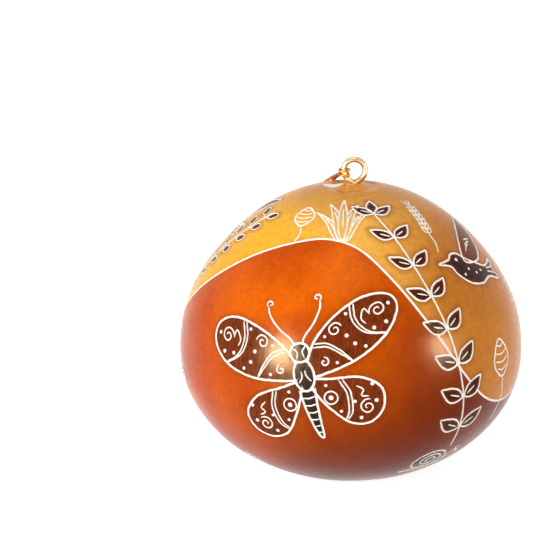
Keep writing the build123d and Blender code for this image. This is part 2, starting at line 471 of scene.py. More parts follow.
def fromChart(chart):
    turn = chart[:, 0] * mm / gourdRadius
    return turn, np.interp(chart[:, 1] * mm / gourdRadius, chartV, along)


# Places in space of spots on the chart, lifted off the wall by that much.
def skinPoints(chart, lift=0.0):
    turn, up = fromChart(chart)
    step = 0.5 * mm
    dr, dz = (np.interp(up + step, along, wall) - np.interp(up - step, along, wall)
              for wall in (wallR, wallZ))
    size = np.hypot(dr, dz)
    r = np.interp(up, along, wallR) + lift * dz / size
    z = np.interp(up, along, wallZ) - lift * dr / size
    return np.stack([r * np.sin(turn), -r * np.cos(turn), z], axis=1)


def insideOutline(points, outline):
    low, high = outline.min(axis=0), outline.max(axis=0)
    hits = np.zeros(len(points), bool)
    near = np.nonzero(((points >= low) & (points <= high)).all(axis=1))[0]
    x, y = points[near].T
    odd = np.zeros(len(near), bool)
    for (ax, ay), (bx, by) in zip(outline, np.roll(outline, -1, axis=0)):
        spans = (ay > y) != (by > y)
        crossing = ax + (y - ay) * (bx - ax) / (by - ay if by != ay else 1e-9)
        odd ^= spans & (x < crossing)
    hits[near] = odd
    return hits


# From here on, what has been drawn hides what is drawn.
def nextMotif():
    hiding["count"] = len(covers)


# Which points of a line no earlier motif hides.
def isShown(chart):
    shown = np.ones(len(chart), bool)
    low, high = chart.min(axis=0), chart.max(axis=0)
    for outline in covers[:hiding["count"]]:
        if (outline.min(axis=0) < high).all() and (outline.max(axis=0) > low).all():
            shown &= ~insideOutline(chart, outline)
    return shown


# Keeps what shows of a stroke, in as many parts as that takes.
def addStroke(chart, half, closed, scorch):
    shown = isShown(chart)
    if shown.all():
        cuts.append({"chart": chart, "half": half, "closed": closed, "scorch": scorch})
        return
    if not shown.any():
        return
    if closed:
        first = int(np.nonzero(~shown)[0][0])
        chart, half, shown = (np.roll(row, -first, axis=0) for row in (chart, half, shown))
    edges = np.nonzero(np.diff(np.concatenate([[0], shown.astype(int), [0]])))[0]
    for start, end in zip(edges[::2], edges[1::2]):
        low, high = max(0, start - 1), min(len(chart), end + 1)
        if high - low > 2:
            cuts.append({"chart": chart[low:high], "half": half[low:high], "closed": False,
                         "scorch": scorch})


# One stroke of the knife. A closed one hides what lies behind it.
def cut(spot, points, width, closed=False, scorch=0.35):
    line = evenly(np.asarray(points, float) * spot[3], carving["sampleStep"], closed)
    count = len(line)
    number = np.arange(count)
    seed, step = len(cuts) * carving["strayApart"], carving["strayStep"]
    places = [Vector((seed, k * step, 0)) for k in range(count)]
    stray = np.array([[noise.noise(place), noise.noise(place.zxy)] for place in places])
    pressure = np.array([noise.noise(place + Vector((0, 0, 5))) for place in places])
    half = width / 2 * (1 + carving["pressure"] * pressure)
    if closed:
        settled = np.minimum(number, count - number) / carving["joinPoints"]
        stray = stray * np.minimum(1, settled)[:, None]
    else:
        end, gain = carving["tip"]
        half = half * np.clip(end + np.minimum(number, count - 1 - number) * gain, 0, 1)
    chart = toChart((*spot[:3], 1), line + stray * carving["wander"])
    addStroke(chart, half, closed, scorch)
    if closed:
        covers.append(chart)


# A round prick of the knife's point.
def pick(spot, x, y, radius):
    chart = toChart(spot, [(x, y)])
    if isShown(chart).all():
        cuts.append({"chart": chart, "half": np.array([radius]), "closed": False, "scorch": 0.2})


# A scorched field inside its own cut.
def field(spot, points, darkness, width=carving["outlineWidth"]):
    burns.append({"chart": toChart(spot, points), "darkness": darkness})
    cut(spot, points, width, closed=True, scorch=1.0)


def fine(spot, points, closed=False):
    cut(spot, points, carving["fineWidth"], closed, scorch=0.1)


def oval(x, y, rx, ry, count=28):
    angle = 2 * math.pi * np.arange(count) / count
    return np.stack([x + rx * np.cos(angle), y + ry * np.sin(angle)], axis=1)


# A scroll that winds inwards. Its flip is 1 or -1, the way that it turns.
def curl(x, y, radius, turns, start, flip=1):
    t = np.linspace(0, 1, int(14 * turns) + 4)
    angle = math.radians(start) + flip * 2 * math.pi * turns * t
    away = radius * (1 - 0.82 * t)
    return np.stack([x + away * np.cos(angle), y + away * np.sin(angle)], axis=1)


def leafShape(length, width, bend=0.0):
    t = np.linspace(0, 1, 12)
    half = width / 2 * np.sin(math.pi * t ** 0.8)
    middle = bend * np.sin(math.pi * t)
    right = np.stack([middle + half, length * t], axis=1)
    left = np.stack([middle - half, length * t], axis=1)
    return np.concatenate([right, left[-2:0:-1]])


# Butterfly with scrolled wings, the largest figure. The lines are those of its right half.
butterfly = {
    "body": [                     # head and chest, with a crease in each
        (oval(0, 5.7, 2.25, 2.15), flowing([(1.5, 6.9), (0.6, 5.9), (0.9, 4.3)])),
        (oval(0, 0.5, 2.35, 3.6), flowing([(1.5, -1.0), (0.6, 0.1), (0.4, 1.6)])),
    ],
    "abdomen": {"top": -2.9, "length": 12.5, "half": 1.7, "tip": 0.12, "rings": 7},
    "feelerWidth": 0.38,
    "feeler": [
        flowing([(0.7, 6.6), (1.6, 9.0), (3.9, 11.4), (5.8, 14.6), (6.2, 17.0)]),
        curl(5.6, 17.5, 0.95, 1.1, -40),
    ],
    "wings": [
        flowing([(0.9, 1.9), (3.4, 7.2), (8.6, 12.2), (15.2, 15.4), (21.0, 14.6), (22.8, 10.6),
                 (19.8, 5.6), (13.2, 1.9), (6.0, 0.2), (1.1, -0.1)], closed=True),
        flowing([(1.1, -0.9), (6.2, -1.4), (12.4, -2.5), (16.4, -6.0), (15.8, -10.6),
                 (12.0, -13.4), (7.8, -12.6), (4.6, -8.8), (2.1, -4.6)], closed=True),
    ],
    "wingLines": [                # double ribs, and the scrolls between them
        flowing([(12.4, 14.4), (12.6, 10.6), (15.0, 7.2), (19.6, 5.6)]),
        flowing([(7.4, -1.9), (8.6, -5.4), (8.0, -9.6), (6.6, -11.6)]),
        flowing([(13.25, 14.4), (13.45, 10.6), (15.85, 7.2), (20.11, 5.6)]),
        flowing([(8.25, -1.9), (9.45, -5.4), (8.85, -9.6), (7.195, -11.6)]),
        flowing([(3.6, 7.0), (6.4, 6.6), (9.2, 4.4), (11.4, 1.7)]),
        flowing([(3.28, 6.2), (6.4, 5.8), (9.2, 3.6), (11.4, 1.46)]),
        curl(18.4, 11.6, 2.0, 1.5, 200, -1),
        flowing([(16.6, 11.0), (15.4, 12.6), (14.6, 10.4), (15.6, 9.0)]),
        curl(8.6, 9.3, 1.7, 1.4, 20),
        curl(5.2, 2.6, 1.15, 1.2, 90, -1),
        curl(12.4, -9.6, 1.9, 1.5, 60),
        flowing([(11.0, -4.2), (12.4, -5.4), (11.6, -6.6), (13.2, -7.2)]),
    ],
    "wingRing": oval(4.9, -5.6, 1.5, 1.5, 20),
    "dots": [(4.9, -5.6, 0.5), (20.9, 12.4, 0.4), (20.0, 8.2, 0.42), (17.2, 7.6, 0.4),
             (11.4, 12.4, 0.36), (11.0, 7.4, 0.42), (12.6, 5.2, 0.4), (14.8, 4.0, 0.36),
             (8.0, 1.9, 0.34), (6.2, 8.2, 0.3), (14.6, -4.6, 0.42), (14.6, -8.6, 0.42),
             (10.2, -11.8, 0.4), (9.9, -7.6, 0.34), (4.4, -2.6, 0.34), (6.3, -9.2, 0.34)],
}


def carveButterfly(spot):
    for outline, crease in butterfly["body"]:
        field(spot, outline, "black")
        for flip in (-1, 1):
            fine(spot, crease * [flip, 1])
        nextMotif()
    carveAbdomen(spot)
    nextMotif()
    for flip in (1, -1):
        for line in butterfly["feeler"]:
            cut(spot, line * [flip, 1], butterfly["feelerWidth"], scorch=0.3)
        for wing in butterfly["wings"]:
            field(spot, wing * [flip, 1], "brown")
        for line in butterfly["wingLines"]:
            fine(spot, line * [flip, 1])
        fine(spot, butterfly["wingRing"] * [flip, 1], closed=True)
        for x, y, radius in butterfly["dots"]:
            pick(spot, x * flip, y, radius)


# The long hind part, which thins out to its tip, with rings across it.
def carveAbdomen(spot):
    top, length, rings = (butterfly["abdomen"][name] for name in ("top", "length", "rings"))
    t = np.linspace(0, 1, 14)
    half = butterfly["abdomen"]["half"] * (1 - t) ** 0.45 * (1 - 0.25 * t)
    side = np.stack([half + butterfly["abdomen"]["tip"], top - length * t], axis=1)
    field(spot, np.concatenate([side, side[::-1] * [-1, 1]]), "black")
    for ring in range(1, rings):
        y = top - length * (ring / rings)
        half = float(np.interp(-y, -side[:, 1], side[:, 0])) - 0.15
        fine(spot, [(-half, y + 0.12), (0, y - 0.14), (half, y + 0.12)])


# Follows a stem over the skin: where it starts, its line for the knife, its length, and a
# function that gives the spot at a way along it, tilted from the stem's own heading.
def layStem(points, steps):
    course = flowing(points, steps=steps)
    across = np.radians(course[:, 0]) * gourdRadius / mm
    width = np.interp(course[:, 1] * mm, along, wallR) / gourdRadius
    strides = np.hypot(np.diff(across) * 0.5 * (width[1:] + width[:-1]), np.diff(course[:, 1]))
    reach = np.concatenate([[0], np.cumsum(strides)])
    line = np.stack([(across - across[0]) * width, course[:, 1] - course[0, 1]], axis=1)

    def spotAt(stop, tilt=0, size=1):
        turn, up = (float(np.interp(stop, reach, column)) for column in course.T)
        before, after = (np.array([np.interp(way, reach, column) for column in line.T])
                         for way in (stop - 0.8, stop))
        heading = math.degrees(math.atan2(*(after - before)[::-1])) - 90
        return turn, up, heading + tilt, size

    return (*map(float, course[0]), 0, 1), line, reach[-1], spotAt


# Stalk with pairs of scorched leaves and one at its tip, given by its own points on the skin.
leafStalk = {
    "openness": 58,               # between a leaf and the stalk, in degrees
    "shrinking": 0.035,           # from each pair to the next
    "pairWidth": 0.52,            # of a leaf's length
    "tipWidth": 0.50,
    "bend": 0.35,
}


def carveLeafStalk(points, leafLength, gap):
    start, line, length, spotAt = layStem(points, steps=12)
    width = carving["leafWidth"]
    cut(start, line, width, scorch=0.4)
    stops = np.arange(gap * 0.8, length - 0.3, gap)
    pairWidth, tipWidth = (leafLength * leafStalk[name] for name in ("pairWidth", "tipWidth"))
    for count, stop in enumerate(stops):
        for side in (1, -1):
            spot = spotAt(stop, -side * leafStalk["openness"], 1 - leafStalk["shrinking"] * count)
            leaf = leafShape(leafLength, pairWidth, side * leafStalk["bend"])
            field(spot, leaf + [0, 0.3], "deep", width)
            fine(spot, [(0, 1.2), (side * 0.3, leafLength * 0.6)])
    spot = spotAt(length, 0, 1 - leafStalk["shrinking"] * len(stops))
    field(spot, leafShape(leafLength, tipWidth), "deep", width)


# Sprig with berries in pairs.
sprig = {
    "gap": 3.9,
    "openness": 52,
    "stalk": 1.5,
    "stalkWidth": 0.26,
    "berry": 1.15,
    "berryShares": (0.8, 1.15),   # its reach to the sides and along the stalk
    "berryWidth": 0.28,
}


def carveSprig(points):
    start, line, length, spotAt = layStem(points, steps=10)
    gap, stalk, size = sprig["gap"], sprig["stalk"], sprig["berry"]
    across, endwise = (size * share for share in sprig["berryShares"])
    berry = oval(0, stalk + size, across, endwise, 12)
    cut(start, line, carving["stemWidth"], scorch=0.2)
    for stop in np.arange(gap, length + 0.1, gap):
        for side in (1, -1):
            spot = spotAt(stop, -side * sprig["openness"])
            cut(spot, [(0, 0.1), (0, stalk)], sprig["stalkWidth"], scorch=0.1)
            field(spot, berry, "deep", sprig["berryWidth"])


# Daisy on a leafy stem, with a hatched heart.
daisy = {
    "petals": 9,
    "petal": (4.2, 2.5),          # length and width
    "firstPetal": 8,              # in degrees
    "heart": 1.75,
    "heartWidth": 0.42,           # of the cut round it
    "hatching": (-0.75, 0, 0.75),
    "stemWidth": 0.36,
    "leaf": (4.4, 1.7),
    "leafTilt": 50,
}


def carveDaisy(spot, stem, dark=True):
    heart, length = daisy["heart"], daisy["petal"][0]
    petal = leafShape(*daisy["petal"]) + [0, heart - 0.05]
    for k in range(daisy["petals"]):
        tilt = 360 * k / daisy["petals"] + daisy["firstPetal"]
        cut(spot, turned(petal, tilt), carving["leafWidth"], closed=True, scorch=0.25)
    ring = oval(0, 0, heart, heart, 22)
    if dark:
        field(spot, ring, "deep", daisy["heartWidth"])
    else:
        cut(spot, ring, daisy["heartWidth"], closed=True)
    for x in daisy["hatching"]:
        reach = math.sqrt(heart ** 2 - x * x) - 0.3
        fine(spot, [(x - 0.1, -reach), (x + 0.1, reach)])
        fine(spot, [(-reach, x), (reach, x)])
    low = -heart - length
    line = flowing([(0.2, low + 0.2), (0.6, low - stem * 0.4), (-0.2, low - stem)])
    cut(spot, line, daisy["stemWidth"], scorch=0.1)
    for side in (1, -1):
        leaf = turned(leafShape(*daisy["leaf"]), -side * daisy["leafTilt"])
        cut(spot, leaf + [0.5, low - stem * 0.55], carving["stemWidth"], closed=True, scorch=0.1)


# Ear of grain on a long stem, in plain line.
grain = {"pairs": 6, "gap": 1.55, "kernel": (2.1, 0.95), "kernelTilt": 38, "width": 0.30,
         "beardWidth": 0.28}


def carveGrain(spot, stem=10.0):
    gap, top = grain["gap"], grain["pairs"] * grain["gap"]
    cut(spot, flowing([(0, -stem), (0.5, -stem * 0.5), (0, 0), (0, top)]), carving["stemWidth"],
        scorch=0.1)
    for k in range(grain["pairs"]):
        for side in (1, -1):
            kernel = turned(leafShape(*grain["kernel"]), -side * grain["kernelTilt"])
            kernel = kernel + [side * 0.1, k * gap + 0.2]
            cut(spot, kernel, grain["width"], closed=True, scorch=0.1)
    for side in (1, 0, -1):
        beard = [(0, top), (side * 0.7, top + 1.6), (side * 1.5, top + 3.0)]
        cut(spot, beard, grain["beardWidth"], scorch=0.0)


# Clump of long blades that grows out of the hill, the middle one in front.
blades = {"lengths": (13.0, 11.5, 12.0, 9.5, 9.0), "half": 0.95, "width": 0.36}


def carveBlades(spot):
    for k, length in enumerate(blades["lengths"]):
        nextMotif()
        side = 1 if k % 2 else -1
        rank = (k + 1) // 2
        t = np.linspace(0, 1, 13)
        reach = side * rank * (0.55 + 0.5 * t + 1.9 * t ** 2.6)
        middle = np.stack([reach, length * (t - 0.06 * rank * t ** 3)], axis=1)
        swell = blades["half"] * np.sin(math.pi * t ** 0.75) ** 0.9
        half = np.stack([swell, np.zeros(len(t))], axis=1)
        outline = np.concatenate([middle + half, (middle - half)[-2:0:-1]])
        cut(spot, outline, blades["width"], closed=True, scorch=0.15)
        fine(spot, flowing([middle[3] + [0.1, 0], middle[6], middle[9]]))


# Drop-shaped bud on a stem, with bars across it.
bud = {
    "width": 4.6,
    "height": 6.4,
    "profileShares": [(0, 0), (0.42, 0.24), (0.5, 0.52), (0.26, 0.86), (0, 1)],
    "cutWidth": 0.42,             # round one that isn't scorched
    "bars": 4,
    "barShares": (0.2, 0.82),     # heights of the lowest and the highest bar
}


def carveBud(spot, stem=9.0, darkness=None):
    profile = np.array(bud["profileShares"]) * [bud["width"], bud["height"]]
    shape = flowing(np.concatenate([profile, profile[-2:0:-1] * [-1, 1]]), closed=True)
    if darkness:
        field(spot, shape, darkness)
    else:
        cut(spot, shape, bud["cutWidth"], closed=True, scorch=0.15)
    for share in np.linspace(*bud["barShares"], bud["bars"]):
        y = bud["height"] * share
        half = float(np.interp(y, profile[:, 1], profile[:, 0])) - 0.25
        fine(spot, flowing([(-half, y + 0.35), (0, y - 0.1), (half, y + 0.35)]))
    if stem:
        line = flowing([(0, -0.2), (0.5, -stem * 0.5), (-0.3, -stem)])
        cut(spot, line, carving["stemWidth"], scorch=0.1)


# Small bird with a feathered wing.
bird = {
    "body": [(-8.6, 1.2), (-5.6, 2.5), (-4.4, 3.9), (-2.4, 4.3), (-0.4, 3.2), (2.6, 2.2),
             (6.6, 1.5), (11.0, 3.0), (10.0, 0.8), (11.4, -1.4), (6.4, -1.0), (2.6, -2.6),
             (-1.6, -2.7), (-4.6, -0.9), (-5.7, 0.9)],
    "wing": [(-0.8, 2.6), (0.8, 7.0), (4.6, 11.4), (9.8, 13.6), (9.6, 9.8), (8.0, 6.2),
             (5.6, 3.4), (2.6, 2.3)],
    "feather": [(0.2, 0), (1.6, 1.9), (3.2, 2.9)],
    "feathersAt": (0.3, 0.56, 0.82),         # as shares of the way up the wing
    "featherRun": [(0.2, 3.2), (4.16, 7.71)],     # that way's foot and top
    "featherRise": (1.0, -1.0, -2.2),        # of its points, on the way up
    "dots": [(-3.3, 2.7, 0.42), (-0.6, 0.6, 0.32), (1.6, -0.2, 0.32), (3.6, 0.4, 0.32),
             (-2.4, -0.8, 0.32)],
    "tail": [[(6.6, 0.2), (10.2, -0.18)], [(6.6, 0.9), (10.2, 1.29)]],
}


def carveBird(spot):
    field(spot, flowing(bird["body"], closed=True, steps=5), "deep")
    field(spot, flowing(bird["wing"], closed=True), "brown")
    foot, top = np.array(bird["featherRun"])
    for share in bird["feathersAt"]:
        feather = np.array(bird["feather"]) + foot + (top - foot) * share
        feather[:, 1] += np.array(bird["featherRise"]) * share
        fine(spot, flowing(feather))
    for dot in bird["dots"]:
        pick(spot, *dot)
    for line in bird["tail"]:
        fine(spot, line)


# Snail with a coiled shell.
snail = {
    "foot": [(-5.6, -2.4), (-2.0, -2.9), (3.0, -2.9), (6.0, -2.2), (7.4, 0.6), (6.6, 2.0),
             (5.0, 1.4), (4.2, -0.6), (2.0, -1.6), (-2.0, -1.6)],
    "footWidth": 0.44,
    "shell": oval(0, 1.5, 3.9, 3.7, 30),
    "coil": curl(0, 1.5, 2.9, 1.9, -60),
    "coilWidth": 0.42,
    "feelers": [[(6.6, 1.8), (7.3, 3.6)], [(6.6, 1.8), (6.1, 3.9)]],
}


def carveSnail(spot, flip=1):
    field(spot, flowing(snail["foot"], closed=True) * [flip, 1], "brown", snail["footWidth"])
    field(spot, snail["shell"] * [flip, 1], "deep")
    cut(spot, snail["coil"] * [flip, 1], snail["coilWidth"], scorch=0.1)
    for feeler in snail["feelers"]:
        fine(spot, np.array(feeler) * [flip, 1])


# Sun with a scroll in it.
sun = {
    "rim": oval(0, 0, 4.4, 4.4, 30),
    "rimWidth": 0.44,
    "scroll": curl(0, 0, 3.3, 2.2, 0),
    "width": 0.40,
    "rays": 12,
    "rayFrom": 5.3,
    "rayTo": (7.0, 8.2),          # by turns
}


def carveSun(spot):
    cut(spot, sun["rim"], sun["rimWidth"], closed=True)
    cut(spot, sun["scroll"], sun["width"], scorch=0.15)
    for k in range(sun["rays"]):
        angle = 2 * math.pi * k / sun["rays"]
        way = np.array([math.cos(angle), math.sin(angle)])
        cut(spot, [way * sun["rayFrom"], way * sun["rayTo"][k % 2]], sun["width"], scorch=0.2)


# What stands where: the foremost first, as it hides what it overlaps.
motifs = [
    (carveButterfly, (-15, 3.5, 14, 0.9)),
    (carveLeafStalk, [(42, -16), (40, -4), (36, 10), (31, 23), (26, 33), (19, 41)],
     {"leafLength": 6.2, "gap": 7.4}),
    (carveBird, (60, 22, -16, 1.0)),
    (carveBud, (60, -1, 4, 1.25), {"stem": 8.5}),
    (carveBlades, (-5, 33.2, 2, 1.0)),
    (carveBud, (-34, 36.4, 14, 0.9), {"stem": 4.6}),
    (carveSprig, [(-97, 11), (-87, 21), (-77, 30), (-68, 38)]),
    (carveSnail, (37, -22, 12, 1.0)),
    (carveGrain, (50, 33, -16, 0.85), {"stem": 6.0}),
    (carveDaisy, (84, -14, -14, 0.8), {"stem": 5.0}),
    (carveDaisy, (92, 12, 0, 1.0), {"stem": 9.0, "dark": False}),
    (carveButterfly, (146, 20, -12, 0.62)),
    (carveGrain, (110, 16, 6, 1.1), {"stem": 16.0}),
    (carveGrain, (119, 6, -4, 1.0)),
    (carveSun, (182, 36, 0, 0.9)),
    (carveBud, (172, 0, 0, 1.0), {"darkness": "deep"}),
    (carveLeafStalk, [(-160, -8), (-157, 4), (-150, 16), (-140, 27), (-124, 36)],
     {"leafLength": 5.6, "gap": 6.8}),
    (carveDaisy, (-134, 12, 4, 1.05), {"stem": 10.0}),
    (carveBird, (-112, 27, 10, 0.9)),
    (carveGrain, (-108, 8, -5, 1.0), {"stem": 6.0}),
    (carveSnail, (-118, -16, -6, 1.0), {"flip": -1}),
    (carveBud, (-80, -6, 12, 1.0), {"darkness": "deep", "stem": 10.0}),
    (carveDaisy, (120, -20, 10, 0.85), {"stem": 6.0}),
    (carveSnail, (160, -22, 0, 0.95)),
    (carveBud, (-155, -26, -10, 0.9), {"darkness": "brown", "stem": 0}),
    (carveBud, (-50, -26, 24, 0.85), {"darkness": "deep", "stem": 6.0}),
]
hillEdge = flowing(hillLine, steps=6)


def carveAll():
    for draw, place, *rest in motifs:
        nextMotif()
        draw(place, **(rest[0] if rest else {}))
    nextMotif()
    across = np.radians(hillEdge[:, 0]) * gourdRadius / mm
    chart = np.stack([across, chartHeight(hillEdge[:, 1] * mm)], axis=1)
    chart = evenly(chart, carving["sampleStep"], closed=False)
    addStroke(chart, np.full(len(chart), carving["outlineWidth"] / 2), False, 0.3)


carveAll()
print("carving drawn,", len(cuts), "cuts and", len(burns), "scorched fields")

# A pricked dot on the chart: the ring round its bottom, the edges of it, and points outside.
def stitchDot(chart, half, swell):
    sides = carving["dotSides"]
    ring = oval(0, 0, 1, 1, sides)
    points = np.concatenate([ring * half[0] * swell[0] + chart[0], chart])
    edges = [(k, (k + 1) % sides) for k in range(sides)]
    return points, edges, ring * (half[0] + carving["besideDot"]) * swell[0] + chart[0]


# A stroke on the chart: its two sides with the bottom between them, and points outside.
def stitchStroke(chart, half, swell, closed):
    if closed:
        way = np.roll(chart, -1, axis=0) - np.roll(chart, 1, axis=0)
    else:
        way = np.gradient(chart, axis=0)
    way = way / np.hypot(*way.T)[:, None]
    normal = np.stack([-way[:, 1], way[:, 0]], axis=1)
    offset = normal * (half * swell)[:, None]
    wide = normal * ((half + carving["besideLine"]) * swell)[:, None]
    points = np.concatenate([chart + offset, chart, chart - offset])
    beside = np.concatenate([(chart + wide)[::2], (chart - wide)[::2]])
    count = len(chart)
    edges = []
    for start in (0, count, 2 * count):
        runs = count if closed else count - 1
        edges.extend((start + k, start + (k + 1) % count) for k in range(runs))
    if not closed:
        for k in (0, count - 1):
            edges.extend([(k, count + k), (count + k, 2 * count + k)])
    return points, edges, beside


# All cuts as lines for the triangles, and their bottoms as spots in space.
def stitchCuts():
    points, edges, beside = [], [], []
    floor = {"spots": [], "half": [], "scorch": []}
    base = 0
    overlap = 3                   # mm past the chart's edge
    for one in cuts:
        for shift in chartTurns:
            chart, half = one["chart"] + [shift, 0], one["half"]
            left, right = chart[:, 0].min(), chart[:, 0].max()
            if shift and (left > chartEdge + overlap or right < -chartEdge - overlap):
                continue
            _, up = fromChart(chart)
            swell = gourdRadius / np.interp(up, along, wallR)       # chart lengths per real one
            if len(chart) == 1:
                outline, runs, outside = stitchDot(chart, half, swell)
                dense, nearest = chart, [0]
            else:
                outline, runs, outside = stitchStroke(chart, half, swell, one["closed"])
                step = carving["sampleStep"] * carving["floorShare"] * float(swell.mean())
                dense = evenly(chart, step, one["closed"])
                nearest = np.linspace(0, len(half) - 1, len(dense)).round().astype(int)
            points.append(outline)
            edges.extend((base + a, base + b) for a, b in runs)
            beside.append(outside)
            base += len(outline)
            floor["spots"].append(skinPoints(dense))
            floor["half"].append(half[nearest])
            floor["scorch"].append(np.full(len(dense), one["scorch"]))
    floor = {name: np.concatenate(rows) for name, rows in floor.items()}
    floor["tree"] = KDTree(len(floor["spots"]))
    for index, spot in enumerate(floor["spots"]):
        floor["tree"].insert(spot, index)
    floor["tree"].balance()
    return np.concatenate(points), edges, np.concatenate(beside), floor


upper, insideUpper = wallZ > bellyHeight, insideZ > bellyHeight      # the profiles' upper parts
footAt = float(np.interp(carving["footRadius"] * mm, wallR[~upper], along[~upper]))
topAt = float(np.interp(-carving["topRadius"] * mm, -wallR[upper], along[upper]))
rims = (chartHeight(footAt), chartHeight(topAt))     # where the chart ends, low and high


# Points of the plain skin, in staggered rows round the gourd, and the heights of the rows.
def layRows():
    rows = int(round((topAt - footAt) / mm / (carving["fieldStep"] * carving["rowShare"])))
    plain, heights = [], []
    for number, at in enumerate(np.linspace(footAt, topAt, rows + 1)[1:-1]):
        r = float(np.interp(at, along, wallR)) / mm
        heights.append(chartHeight(at))
        count = int(round(2 * math.pi * r / carving["fieldStep"]))
        share = (np.arange(count) + 0.5 * (number % 2) + 0.25) / count
        across = share * 2 * chartEdge - chartEdge
        plain.append(np.stack([across, np.full(count, heights[-1])], axis=1))
    return np.concatenate(plain), heights


# Those of the points that stand clear of every cut and of the chart's edges.
def keepClear(chart, gap, floor):
    clear = []
    for spot in skinPoints(chart):
        _, nearest, away = floor["tree"].find(spot)
        clear.append(away / mm - floor["half"][nearest] > gap)
    x, y = chart.T
    atSides, atFoot, atTop = carving["edgeClear"]
    within = (np.abs(x) < chartEdge - atSides) & (y > rims[0] + atFoot) & (y < rims[1] - atTop)
    return chart[np.array(clear) & within]


# Covers the chart with triangles that follow every cut.
def fillChart(linePoints, lineEdges, beside, floor):
    plain, heights = layRows()
    wide = np.linspace(-chartEdge, chartEdge, carving["rimPoints"] + 1)
    tall = np.array([rims[0]] + heights + [rims[1]])
    borders = [np.stack([wide, np.full(len(wide), rim)], axis=1) for rim in rims]
    for side in (-chartEdge, chartEdge):
        borders.append(np.stack([np.full(len(tall), side), tall], axis=1))
    loose = [keepClear(plain, carving["besideLine"] + carving["fieldClear"], floor),
             keepClear(beside, carving["besideLine"] * 0.9, floor)]
    corners = list(linePoints)
    edges = list(lineEdges)
    for border in borders:
        edges.extend((k, k + 1) for k in range(len(corners), len(corners) + len(border) - 1))
        corners.extend(border)
    for spots in loose:
        corners.extend(spots)
    made = delaunay_2d_cdt([Vector(corner) for corner in corners], edges, [], 0, 1e-4, False)
    chart, triangles = np.array([vertex[:] for vertex in made[0]]), np.array(made[2])
    x, y = chart[triangles].mean(axis=1).T
    return chart, triangles[(np.abs(x) < chartEdge) & (y > rims[0]) & (y < rims[1])]


# How deep the knife went at each spot of the skin, as a share, and how scorched it is there.
def readDepth(spots, floor):
    depth, scorch = np.zeros(len(spots)), np.zeros(len(spots))
    fade, search = carving["scorchReach"], carving["pointSearch"] * mm
    for index, spot in enumerate(spots):
        for _, near, gap in floor["tree"].find_range(Vector(spot), search):
            away, half = gap / mm, floor["half"][near]
            if away < half:
                sunk = min(1, (1 - away / half) * carving["wallSlope"])
                depth[index] = max(depth[index], sunk * min(1, half / carving["fullDepthFrom"]))
            glow = floor["scorch"][near] * max(0.0, 1 - max(0.0, away - half) / fade)
            scorch[index] = max(scorch[index], glow)
    return depth, scorch


# Which triangles are cut, dyed or scorched.
def markTriangles(centres, floor):
    whiteMask = []
    share = carving["whiteShare"]
    for spot in skinPoints(centres):
        nearby = floor["tree"].find_range(Vector(spot), carving["faceSearch"] * mm)
        whiteMask.append(any(gap / mm < floor["half"][near] * share for _, near, gap in nearby))
    turn, up = fromChart(centres)
    tone = np.full(len(centres), "plain")
    for one in reversed(burns):
        for shift in chartTurns:
            tone[insideOutline(centres, one["chart"] + [shift, 0])] = one["darkness"]
    return {
        "cutLine": np.array(whiteMask),
        "hillDye": up < np.interp(np.degrees(turn), hillEdge[:, 0], hillEdge[:, 1]) * mm,
        "burntBrown": tone == "brown",
        "burntDeep": tone == "deep",
        "burntBlack": tone == "black",
    }


def buildSkin():
    points, edges, beside, floor = stitchCuts()
    chart, triangles = fillChart(points, edges, beside, floor)
    print("skin triangles:", len(triangles))
    spots = skinPoints(chart)
    depth, scorch = readDepth(spots, floor)
    large, small = carving["lumps"]
    lumps = np.array([noise.noise(Vector(spot) * large) + 0.5 * noise.noise(Vector(spot) * small)
                      for spot in spots])
    unevenness = carving["unevenness"]
    lift = lumps * unevenness - 0.6 * unevenness - depth * carving["depth"]
    return {"chart": chart, "points": skinPoints(chart, lift * mm), "triangles": triangles,
            "marks": markTriangles(chart[triangles].mean(axis=1), floor), "scorch": scorch}


# The rest of the gourd's wall: stem hollow, bore of the eye, hollow inside and foot.
wallEnds = {
    "boreRadius": 0.65 * mm,
    "boreAside": 0.8 * mm,
    "crownRings": 34,
    "footRings": 18,
    "boreRings": 6,
    "insideRings": 60,
    "insideEnds": (2.2 * mm, 0.6 * mm),    # of the hollow, left out at the top and at the foot
    "scarRise": 0.80 * mm,        # swelling of the stem scar round the eye
    "scarReach": (1.15 * mm, 4.8 * mm),
    "scarRough": 0.10,
    "scarLumps": 900,             # a metre
    "lip": (-3.7 * mm, 3.0 * mm, 0.45 * mm),         # torn skin beside the scar: x, reach, rise
    "lipSlope": (-0.5 * mm, 0.9 * mm, 2.8 * mm),     # its foot, its crest and its far foot
    "lipBend": (0.12 * mm, 2.2),
    "glintPatch": (-3.6 * mm, 0.25 * mm, 2.5 * mm, 0.85 * mm),      # painted highlight on the lip beside the scar: middle and reach of a patch
    "darkPatch": (4.4 * mm, 3.0 * mm, 1.9 * mm, 1.3 * mm),       # a darker patch right of the eye
    "darkPatchDepth": 0.8,
    "patchesFrom": 32 * mm,       # above the belly
    "sharp": 30,                  # angle of the edges that stay sharp, in degrees
}


# Extra height of the crown: the swelling that the stem left round the eye, and torn skin.
def crownRelief(x, y):
    away = math.hypot(x - wallEnds["boreAside"], y)
    near, far = wallEnds["scarReach"]
    t = min(1.0, max(0.0, (far - away) / (far - near)))
    ridge = wallEnds["scarRise"] * t * t * (3 - 2 * t)
    ridge *= 1 + wallEnds["scarRough"] * noise.noise(Vector((x, y, 0)) * wallEnds["scarLumps"])
    middle, reach, rise = wallEnds["lip"]
    shift, bend = wallEnds["lipBend"]
    crest = y + shift * math.cos((x - middle) / reach * bend)
    profile = float(np.interp(crest, wallEnds["lipSlope"], (0, 1, 0)))
    return ridge + rise * profile * max(0.0, 1 - ((x - middle) / reach) ** 2)


